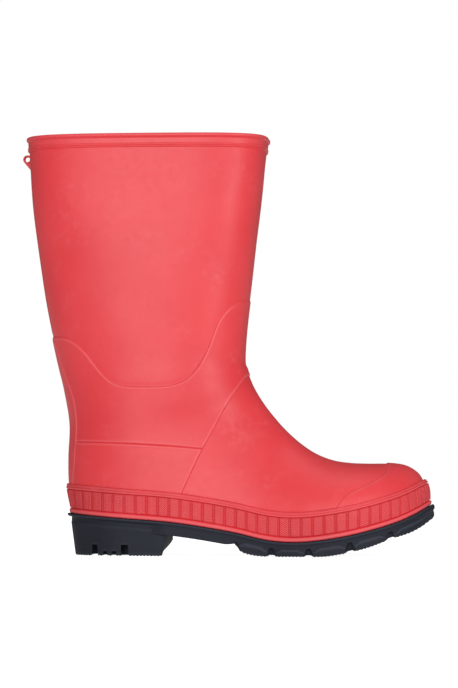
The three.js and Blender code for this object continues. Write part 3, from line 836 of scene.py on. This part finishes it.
# Per profile row: paler rows on the beads and the roll (painted highlight), darker rows in the hollows beside
# the beads (painted shade).
band_edge = [0.0, 0.0, *[0.5] * 6, 0.0, *[0.5] * 6, *[0.0] * 5, *[0.3] * 12, *[0.0] * 7]
band_groove = [1.0, 1.0, *[0.0] * 6, 1.0, *[0.0] * 6, 1.0, 0.0, 0.0, 0.4, 1.0, *[0.0] * 19]
band = rim_ring("top_band_roll", band_profile, upper_rubber, band_edge, band_groove)
upper(band, "top_band")

# ---- hanging loop


def loop_piece():
    """Flat moulded ring on a tapered tab, against the back of the shaft under the band."""
    low, high = box_mm("hang_loop")
    radius, hole = 2.7, 1.55
    centre = np.array([low[0] - X0 + radius, high[2] - radius])
    thick = (high[1] - low[1]) / 2
    back_u = np.linspace(0, 0.3, 300)
    back = face(back_u, np.full(300, math.pi))

    def shaft_x(z):
        return np.interp(-z, -back[:, 2], back[:, 0]) + 0.7

    def arc(start, stop, steps):
        t = np.radians(np.linspace(start, stop, steps, endpoint=False))
        return centre + radius * np.stack([np.cos(t), np.sin(t)], -1)

    def side(z0, z1, steps):
        z = np.linspace(z0, z1, steps, endpoint=False)
        return np.stack([shaft_x(z), z], -1)

    top, foot = centre[1] + 2.4, centre[1] - 8.0
    bend = centre + radius * np.array([math.cos(math.radians(216)), math.sin(math.radians(216))])
    down = np.linspace(0, 1, 16, endpoint=False)[:, None]
    tab = mix(bend, np.array([float(shaft_x(foot)) - 0.7, foot]), down)
    up = np.linspace(0, 1, 6, endpoint=False)[:, None]
    over = mix(np.array([float(shaft_x(top)), top]), arc(72, 73, 1)[0], up)
    outline = np.concatenate([arc(72, 216, 44), tab, side(foot, top, 24), over])
    turn = np.arctan2(outline[:, 1] - centre[1], outline[:, 0] - centre[0])
    hole_edge = centre + hole * np.stack([np.cos(turn), np.sin(turn)], -1)
    spread_out = np.linalg.norm(outline - hole_edge, axis=1, keepdims=True)
    rows = []
    # Each row's inset in mm, share of the way from the outline to the hole, and place across the thickness.
    section = [
        (0.18, 0, -1), (0, 0, -0.7), (0, 0, 0), (0, 0, 0.7), (0.18, 0, 1), (0, 0.5, 1.04),
        (-0.18, 1, 1), (0, 1, 0.7), (0, 1, 0), (0, 1, -0.7), (-0.18, 1, -1), (0, 0.5, -1.04),
    ]
    for inset, share, y in section:
        xz = mix(outline, hole_edge, np.clip(share + inset / spread_out, 0, 1))
        rows.append(np.stack([xz[:, 0], np.full(len(xz), y * thick), xz[:, 1]], -1))
    grid3 = np.stack(rows)
    tone = np.full(grid3.shape[:2], 0.2)
    return closed_ring("hang_loop_ring", grid3[:, ::-1], upper_rubber, {"edge": tone})


upper(loop_piece(), "hang_loop")

# ---- lining and footbed


def lining_piece():
    p, n, closed = grid(0.0, 1.0, 1.5)
    keep = (p[..., 2] < RIM - 2.4) & (p[..., 2] - sole_z(p[..., 0]) > 5.2)
    inner = p - n * 3.7
    return shell("lining_sock_knit", p - n * 2.6, inner, closed, keep, lining_knit)


lining = lining_piece()
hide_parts("lining_sock")
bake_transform(lining)


def footbed_piece():
    """Cushioned sole under the foot: cupped at the heel, with a bevelled edge."""
    count = int(420 / FINE)
    s = np.arange(count) / count
    centre = wall.centre(s)
    rim = wall.pushed(s, [10.6], -4.3)[0]
    low_rim = wall.pushed(s, [6.8], -4.3)[0]
    rows = []

    def shrunk(edge, share, lift):
        xy = centre + (edge[:, :2] - centre) * share
        return np.c_[xy, sole_z(xy[:, 0]) + lift]

    for share in np.linspace(0, 1, 14):
        rows.append(shrunk(low_rim, share, 6.75))
    rows.append(shrunk(rim, 1.0, 8.5))
    for share, lift in ((1.0, 9.9), (0.985, 10.4), (0.96, 10.6)):
        rows.append(shrunk(rim, share, lift))
    for share in np.linspace(0.94, 0, 30):
        dip = 0.5 * (1 - share**2)
        rows.append(shrunk(rim, share, 10.6 - dip))
    return capped("footbed_cushion", np.stack(rows)[:, ::-1], footbed_felt)


footbed = footbed_piece()
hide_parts("footbed")
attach(footbed, "foot")

# ---- foxing round the foot

FOX_IN = -0.4
FOX_OUT = 1.95
RIB = 0.62
STRIP_BASE, STRIP_TOP = 3.35, 14.8
STRIP_PLACES = int(700 / FINE)


def foxing_piece():
    """Ribbed strip: panels of fine herringbone between pairs of grooves with a thin rib between them."""
    ribs = round(wall.length / (6.9 * K))
    count = int(ribs * 26 / FINE)
    s = np.arange(count) / count
    phase = (s * ribs) % 1  # 0 to 1 along one pitch
    pitch = wall.length / ribs
    across = (phase - 0.5) * pitch  # mm from the middle of the panel
    half_panel = 2.55
    panel = smoothstep(half_panel + 0.3, half_panel - 0.1, np.abs(across))
    thin = np.exp(-(((np.abs(across) - pitch / 2) / 0.34) ** 2))
    rows_up = int(44 / FINE)
    h = np.linspace(STRIP_BASE, STRIP_TOP, rows_up)
    ends = smoothstep(0, 0.55, h - STRIP_BASE) * smoothstep(0, 0.55, STRIP_TOP - h)
    # The hatching leans one way in one column and the other way in the next.
    column = 1.7
    zigzag = np.abs(((across + 0.5 * column) / column) % 2 - 1) * column
    wave = np.sin(2 * math.pi * (h[:, None] + zigzag[None]) / 1.2)
    hatch = wave * panel[None] * ends[:, None]
    out = FOX_OUT + ends[:, None] * (RIB * panel[None] + 0.85 * RIB * thin[None]) + 0.17 * hatch
    outer = wall.pushed(s, h, out)
    below = wall.pushed(s, [STRIP_BASE - 0.9], FOX_OUT - 0.2)
    back_heights = [STRIP_TOP + 0.8, STRIP_TOP + 0.8, STRIP_BASE - 0.9]
    above = wall.pushed(s, back_heights, np.array([[1.5], [FOX_IN], [FOX_IN]]))
    rows = np.concatenate([below, outer, above])
    raised = mix(0.45, 1, ends)[:, None] * np.maximum(panel, thin)[None]
    # Painted highlight on the ridges of the hatching, and painted shade in its valleys, in the recesses
    # between the raised panels and ribs, and on the row tucked under the strip's lower end.
    tone = np.clip(0.8 * hatch, 0, 1)
    shade = np.clip(0.8 * (1 - raised) + 0.9 * np.maximum(-hatch, 0), 0, 1)
    flat = np.zeros((1, count))
    tone = np.concatenate([flat, tone, flat, flat, flat])
    shade = np.concatenate([flat + 1, shade, flat, flat, flat])
    return closed_ring("foxing_band_ribs", rows, trim_rubber, {"edge": tone, "painted_shade": shade})


def swept(name, profile, count, material_used, edges):
    """Profile of (distance out, height) swept round the foot."""
    s = np.arange(count) / count
    out = np.array([o for o, _ in profile])[:, None]
    rows = wall.pushed(s, [h for _, h in profile], out)
    tone = np.repeat(np.asarray(edges, float)[:, None], count, 1)
    return closed_ring(name, rows, material_used, {"edge": tone})


foxing = foxing_piece()
bead_profile = [
    (FOX_IN, 0.25), (FOX_OUT + 0.7, 0.25), (FOX_OUT + 1.15, 0.55), (FOX_OUT + 1.4, 1.2),
    (FOX_OUT + 1.38, 1.9), (FOX_OUT + 1.1, 2.6), (FOX_OUT + 0.75, 3.05), (FOX_OUT + 0.3, 3.25), (FOX_IN, 3.3),
]
# Paler on the outer round of the bead: partly wear, partly painted highlight.
bead_wear_and_highlight = [0, 0, 0.3, 0.5, 0.5, 0.3, 0, 0, 0]
bead = swept("welt_bead_round", bead_profile, STRIP_PLACES, trim_rubber, bead_wear_and_highlight)
edging_profile = [
    (FOX_IN, 14.9), (FOX_OUT + 0.35, 14.95), (FOX_OUT + 0.75, 15.2), (FOX_OUT + 0.8, 15.7),
    (FOX_OUT + 0.6, 16.1), (FOX_OUT + 0.32, 16.35), (FOX_OUT + 0.42, 16.65), (FOX_OUT + 0.36, 17.3),
    (FOX_OUT - 0.05, 17.9),
    (FOX_OUT - 0.7, 18.25), (FOX_IN, 18.4),
]
# Paler on the strip's raised rounds: partly wear, partly painted highlight.
edging_wear_and_highlight = [0, 0, 0.4, 0.4, 0.2, 0, 0.2, 0.3, 0.2, 0, 0]
edging = swept("foxing_edging_strip", edging_profile, STRIP_PLACES, trim_rubber, edging_wear_and_highlight)
for obj, node_name in ((foxing, "foxing_band"), (bead, "welt_bead"), (edging, "foxing_edging")):
    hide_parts(node_name)
    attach(obj, "foot")

# ---- outsole

BAYS = np.array([105.2, 127.6, 150, 174.7, 198.5, 229]) * K
LIP_OUT = 4.7
BAND_OUT = 4.15
EDGE_REACH = 17.0


def tread_z(x):
    return np.maximum(np.interp(x, tread_line[:, 0], tread_line[:, 1]), 0)


def plate_z(x):
    return sole_z(x) - mix(7.8, 4.8, smoothstep(98 * K, 112 * K, x))


def bay_mask(x, shift, gap=2.0, soft_edge=0.9):
    """1 on a tread block, 0 in the gap between two."""
    edge = np.abs(x[..., None] - (BAYS + shift)).min(-1)
    inside = (x > BAYS[0] + shift) & (x < BAYS[-1] + shift)
    return np.where(inside, smoothstep(gap - soft_edge, gap + soft_edge, edge), 0)


TOOTH_PITCH = 2.15
TOOTH_DEPTH = 0.85
STUD_PITCH = 2.6  # across the sole; along it the studs follow the teeth


def teeth(x):
    """Saw-like edge of the tread seen from the side, 0 at the teeth's tips."""
    return TOOTH_DEPTH * np.abs(2 * ((x / TOOTH_PITCH) % 1) - 1) ** 0.8


def tread_skin(x_edge, xy, inwards):
    """Height of the tread's face above its lowest tips: an edge row of teeth, then low studs inside it."""
    along = np.cos(2 * math.pi * xy[:, 0] / TOOTH_PITCH)
    across = np.cos(2 * math.pi * xy[:, 1] / STUD_PITCH)
    return mix(teeth(x_edge), 0.55 + 0.25 * along * across, smoothstep(0.5, 1.9, inwards))


def bottom_z(x_edge, xy, inwards):
    """Underside of the sole at plan places; inwards is the distance from the sole's edge."""
    x = xy[:, 0]
    edge_zone = smoothstep(EDGE_REACH + 0.5, EDGE_REACH - 0.5, inwards)
    middle_zone = smoothstep(EDGE_REACH + 2.5, EDGE_REACH + 3.5, inwards)
    # A low web set back from the edge joins each block to the next.
    web = smoothstep(1.3, 2.0, inwards) * smoothstep(6.5, 5.5, inwards) * (x > BAYS[0]) * (x < BAYS[-1])
    edge_block = edge_zone * bay_mask(x, 0)
    block = np.max([edge_block, middle_zone * bay_mask(x, -11 * K), web], axis=0)
    lifted = np.maximum(1.2 * middle_zone, 1.3 * web * (1 - edge_block))
    tips = tread_z(x) + tread_skin(x_edge, xy, inwards) * edge_block + lifted
    return np.where(tread_z(x) < plate_z(x), mix(plate_z(x), tips, block), plate_z(x))


def inward_steps(span, near, far_count):
    """Distances in from an edge, a row for each ring: the near ones, then even steps to the middle."""
    rings = [np.minimum(distance, span) for distance in near]
    return rings + [mix(rings[-1], span, t) for t in np.linspace(0, 1, far_count + 1)[1:]]


def outsole_piece():
    count = int(1500 / FINE)
    s = np.arange(count) / count
    centre = wall.centre(s)
    flush = wall.pushed(s, [0], BAND_OUT)[0]
    heel = 1 - smoothstep(52 * K, 64 * K, flush[:, 0])
    rows, tones = [], []

    def ring_at(out, drop, tone=0.0):
        p = wall.pushed(s, [0], np.broadcast_to(out, (1, count)))[0]
        p[:, 2] = sole_z(p[:, 0]) - drop
        rows.append(p)
        tones.append(np.full(count, tone))

    top = wall.pushed(s, [0], 1.0)[0]
    for share in (0.0, 0.5, 1.0):
        xy = centre + (top[:, :2] - centre) * share
        rows.append(np.c_[xy, sole_z(xy[:, 0])])
        tones.append(np.zeros(count))
    ring_at(3.6, 0.0)
    tip = 1.1 * smoothstep(208 * K, 221 * K, flush[:, 0])  # the sole's tip is rounder and stands further out
    # The rounded lip is paler on its outer round: partly wear, partly painted highlight.
    ring_at(LIP_OUT - 0.25 - 0.7 * tip, 0.05, 0.5)
    ring_at(LIP_OUT - 0.35 * tip, 0.4, 0.7)
    ring_at(LIP_OUT + 0.05 * tip, 1.1, 0.5)
    side = mix(BAND_OUT, 2.15, heel)
    ring_at(mix(BAND_OUT + 0.2, LIP_OUT - 0.6, heel) + 0.5 * tip, 1.55, 0.1)
    ring_at(side + 0.9 * tip, 1.9)
    # Side wall down to the tread: lugs bulge a little under a scalloped line.
    block = bay_mask(flush[:, 0], 0, 2.2, 1.2)
    wide = bay_mask(flush[:, 0], 0, 4.6, 2.6)
    wall_bottom = bottom_z(flush[:, 0], flush[:, :2], np.zeros(count))
    start = sole_z(flush[:, 0]) - 1.9
    shoulder = sole_z(flush[:, 0]) - mix(6.3, 4.0, wide)
    treaded = flush[:, 0] > BAYS[0]
    shoulder = np.where(treaded, np.maximum(shoulder, wall_bottom + 0.5), mix(start, wall_bottom, 0.6))
    bulge = mix(-1.3, 0.8, block) * treaded * (flush[:, 0] < BAYS[-1])
    for t, swell in ((0.35, 1), (0.7, 0.55), (0.93, 0.2)):
        p = wall.pushed(s, [0], (side + tip * swell)[None])[0]
        p[:, 2] = mix(start, shoulder, t)
        rows.append(p)
        tones.append(np.zeros(count))
    for t, swell in ((0.08, 0.6), (0.2, 0.9), (0.45, 1), (0.7, 1), (0.88, 0.9), (0.97, 0.6)):
        p = wall.pushed(s, [0], (side + bulge * swell)[None])[0]
        p[:, 2] = mix(shoulder, wall_bottom, t)
        rows.append(p)
        # The top of each lug's face is painted paler as a highlight; its foot is a little paler as well,
        # partly wear and partly painted highlight.
        tones.append(1.0 * block * (t < 0.25) + 0.35 * (t > 0.85) * block)
    edge = wall.pushed(s, [0], side[None])[0]
    span = np.linalg.norm(edge[:, :2] - centre, axis=1)
    for inwards in inward_steps(span, [0.25, 0.8, *np.arange(1.6, 21.5, 0.9 * FINE)], 18):
        xy = mix(edge[:, :2], centre, (inwards / span)[:, None])
        z = bottom_z(flush[:, 0], xy, inwards)
        rows.append(np.c_[xy, z])
        tones.append(0.12 * (z < tread_z(xy[:, 0]) + 0.3))
    grid3 = np.stack(rows)
    return capped("outsole_tread", grid3[::-1], sole_rubber, {"edge": np.stack(tones)[::-1]})


outsole = outsole_piece()
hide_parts("outsole")
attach(outsole, "foot")

# ---- heel block

# Back, front and height of each slot that shows in the heel's side.
SLOTS = [(16.2, 21.0, 6.9), (24.0, 27.1, 3.0), (29.7, 32.8, 3.0), (35.6, 40.4, 6.9)]
SLOT_REACH = 11.0
HEEL_DRAFT = 20.0  # height over which the heel's sides come in to their taper at the ground


def slot_lane(x, low, high):
    """1 between a slot's back and front, 0 outside them."""
    return smoothstep(low * K - 0.12, low * K + 0.12, x) * smoothstep(high * K + 0.12, high * K - 0.12, x)


def heel_piece():
    """Heel block with a ring of teeth at the ground, slots through its sides and a slanting breast."""
    count = int(1400 / FINE)
    theta = np.linspace(0, 2 * math.pi, count, endpoint=False)
    s = np.arange(2400) / 2400
    outline = wall.pushed(s, [0], 2.4)[0][:, :2] - HEEL_C
    turn = np.unwrap(np.arctan2(outline[:, 1], outline[:, 0]))
    near = np.linalg.norm(outline, axis=1) < 75
    angle, reach = np.mod(turn[near], 2 * math.pi), np.linalg.norm(outline[near], axis=1)
    order = np.argsort(angle)
    radius = np.interp(theta, angle[order], reach[order], period=2 * math.pi)
    d = np.stack([np.cos(theta), np.sin(theta)], -1)
    # The breast runs across at a slant, a little further forward on the inner side.
    front_y = np.array([-60, -32, 0, 28, 60.0])
    front_x = np.array([61.9, 61.8, 61.3, 60.6, 60.4]) * K
    for _ in range(6):
        y = HEEL_C[1] + radius * d[:, 1]
        limit = (np.interp(y, front_y, front_x) - HEEL_C[0]) / np.where(d[:, 0] > 0.05, d[:, 0], 1e-6)
        radius = np.where(d[:, 0] > 0.05, np.minimum(radius, np.abs(limit)), radius)

    edge = HEEL_C + radius[:, None] * d
    sides = np.clip(np.abs(d[:, 1]), 0, 1)
    x = edge[:, 0]
    slot_top = np.zeros(count)
    for low, high, top in SLOTS:
        slot_top = np.maximum(slot_top, top * slot_lane(x, low, high))
    top_z = sole_z(x) - 4.4
    rows, tones = [], []

    def undercut(xy, z):
        """Keep a ring behind the breast, which leans back towards the ground, more so on the inner side."""
        lean = mix(1.8, 7.2, smoothstep(-30, 18, xy[:, 1])) * np.clip(1 - z / 8.5, 0, 1) ** 1.2
        limit = np.interp(xy[:, 1], front_y, front_x) - lean
        return np.c_[np.minimum(xy[:, 0], limit), xy[:, 1], z]

    def put(share, z, tone=0.0, push=0.0):
        z = np.broadcast_to(z, (count,))
        rows.append(undercut(HEEL_C + (radius * share + push)[:, None] * d, z))
        tones.append(np.broadcast_to(np.asarray(tone, float), (count,)))

    ones = np.ones(count)
    for share in (0, 0.5, 0.9):
        put(ones * share, sole_z(HEEL_C[0] + (x - HEEL_C[0]) * share) - 6.5)
    put(ones, top_z - 0.2, 0.0, -0.9)
    put(ones, top_z - 0.25, 0.25, -0.35)
    put(ones, top_z - 0.6, 0.5)
    taper = 2.2 * smoothstep(0.3, -1, d[:, 0]) + 0.5
    base = np.maximum(slot_top, teeth(x))
    for t in (0.12, 0.3, 0.5, 0.62, 0.72, 0.8, 0.88, 0.94, 0.985, 1):
        z = mix(top_z - 0.6, base, t)
        put(ones, z, 0.3 * (t > 0.9), -taper * (1 - z / HEEL_DRAFT))
    span = radius - taper
    for inwards in inward_steps(span, [0.3, 0.9, 1.6, *np.arange(2.4, 12.5, 0.8 * FINE)], 30):
        share = (span - inwards) / radius
        xy = HEEL_C + (radius * share)[:, None] * d
        inside_slot = np.zeros(count)
        for low, high, top in SLOTS:
            lane = slot_lane(xy[:, 0], low, high)
            depth = smoothstep(SLOT_REACH + 0.6, SLOT_REACH - 0.6, inwards * sides)
            inside_slot = np.maximum(inside_slot, top * lane * depth * (sides > 0.25))
        flat_pad = smoothstep(9, 11, np.linalg.norm(xy - HEEL_C, axis=1))
        z = np.maximum(inside_slot, tread_skin(x, xy, inwards) * flat_pad)
        rows.append(undercut(xy, z))
        tones.append(0.15 * (z < 0.3))
    grid3, tone = np.stack(rows)[::-1, ::-1], np.stack(tones)[::-1, ::-1]
    # Painted shade inside the slots.
    hollow = (grid3[..., 2] > 1.1) & (np.arange(len(rows))[::-1, None] > 15)
    return capped("heel_block_lugs", grid3, sole_rubber, {"edge": tone, "painted_shade": hollow.astype(float)})


heel = heel_piece()
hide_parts("heel_block")
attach(heel, "foot")

# ---- hidden pieces keep their CAD shape

hidden = {
    "insole_board": felt_material("board_fibre", (0.36, 0.23, 0.11), (0.5, 0.36, 0.2), 500, 0.00015),
    "heel_filler": felt_material("filler_foam", (0.09, 0.07, 0.055), (0.16, 0.13, 0.1), 700, 0.0004),
    "heel_stiffener": felt_material("stiff_board", (0.5, 0.41, 0.3), (0.64, 0.55, 0.43), 600, 0.0002),
    "shank": steel_material(),
}
hidden["forepart_filler"] = hidden["heel_filler"]
hidden["toe_puff"] = hidden["heel_stiffener"]
for node_name, look in hidden.items():
    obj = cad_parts[node_name]
    for slot in obj.material_slots:
        slot.material = look

# ---- floor, light, camera


def floor_and_light():
    size = 4.0
    mesh = bpy.data.meshes.new("studio_floor")
    corners = [(-size, -size, 0), (size, -size, 0), (size, size, 0), (-size, size, 0)]
    mesh.from_pydata(corners, [], [(0, 1, 2, 3)])
    floor = bpy.data.objects.new("studio_floor", mesh)
    bpy.context.scene.collection.objects.link(floor)
    look, tree, shader = material("studio_floor", grey(0.45), 0.9)
    shader.inputs["Specular IOR Level"].default_value = 0.0
    shader.inputs["Emission Color"].default_value = (1, 1, 1, 1)
    # Bright to the camera, as a lit studio sweep is, but a modest source of light itself.
    path = tree.nodes.new("ShaderNodeLightPath")
    glow = maths(tree, "MULTIPLY_ADD", path.outputs["Is Camera Ray"], 0.64, 0.31)
    tree.links.new(glow, shader.inputs["Emission Strength"])
    mesh.materials.append(look)

    world = bpy.data.worlds.new("studio")
    bpy.context.scene.world = world
    world.use_nodes = True
    tree = world.node_tree
    background = tree.nodes["Background"]
    background.inputs["Color"].default_value = (1, 1, 1, 1)
    path = tree.nodes.new("ShaderNodeLightPath")
    ambient = maths(tree, "MULTIPLY_ADD", path.outputs["Is Glossy Ray"], -0.18, 0.31)
    seen = maths(tree, "MAXIMUM", ambient, path.outputs["Is Camera Ray"])
    tree.links.new(seen, background.inputs["Strength"])

    def area(name, place, target, width, height, power):
        data = bpy.data.lights.new(name, "AREA")
        data.shape = "RECTANGLE"
        data.size, data.size_y, data.energy = width, height, power
        lamp = bpy.data.objects.new(name, data)
        lamp.location = place
        lamp.rotation_euler = (Vector(target) - Vector(place)).to_track_quat("-Z", "Y").to_euler()
        bpy.context.scene.collection.objects.link(lamp)
        return lamp

    middle = (0.05, 0, 0.13)
    area("key", (-0.15, -2.0, 0.5), middle, 0.9, 0.9, 16.5)
    area("streak", (1.25, -1.37, 0.3), middle, 0.14, 1.3, 14.5)
    area("top", (0.15, -0.1, 1.5), middle, 0.9, 0.9, 3.5)
    # Fills the far side with light; kept out of reflections, where it would glint along the seams.
    area("back", (-0.7, 1.8, 0.6), middle, 0.9, 0.9, 7).visible_glossy = False


floor_and_light()


def camera():
    """A little to the toe side of square on to the boot's outer side, low, and some way off."""
    distance = 1.7
    eye = 0.060
    aim_x = 0.0674
    azimuth = math.radians(5)
    pitch = math.radians(1.5943)
    data = bpy.data.cameras.new("camera")
    data.sensor_fit = "VERTICAL"
    data.sensor_height = 36.0
    data.lens = 144.64
    data.shift_y = 0.0523
    data.clip_start = 0.05
    data.clip_end = 20
    obj = bpy.data.objects.new("camera", data)
    obj.location = (aim_x + distance * math.sin(azimuth), -distance * math.cos(azimuth), eye)
    obj.rotation_euler = (math.pi / 2 + pitch, 0, azimuth)
    bpy.context.scene.collection.objects.link(obj)
    bpy.context.scene.camera = obj


camera()
bpy.context.scene.view_settings.view_transform = "Standard"
